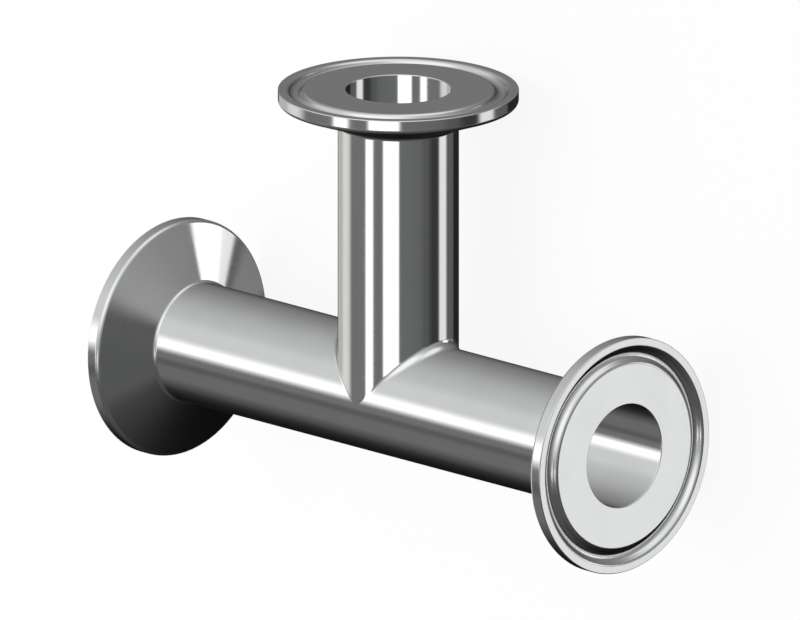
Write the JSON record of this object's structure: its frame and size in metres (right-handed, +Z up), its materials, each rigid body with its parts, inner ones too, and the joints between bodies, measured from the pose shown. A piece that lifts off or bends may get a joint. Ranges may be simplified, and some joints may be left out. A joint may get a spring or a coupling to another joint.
{
  "type": "sanitary clamp tee",
  "caption": "Equal tee for hygienic tubing: two thin steel tubes crossing at a right angle, with a flat clamp ferrule and gasket groove on every end.",
  "frame": {"origin": "point where the run's axis and the branch's axis cross", "axes": "+X along the run, +Y along the branch out of its mouth, +Z up with the tee lying on its three rims"},
  "size_m": [0.1334, 0.092, 0.0504],
  "materials": {
    "stainless_steel": "polished"
  },
  "bodies": {
    "root": {"clamp_tee": "stainless_steel"}
  },
  "joints": []
}
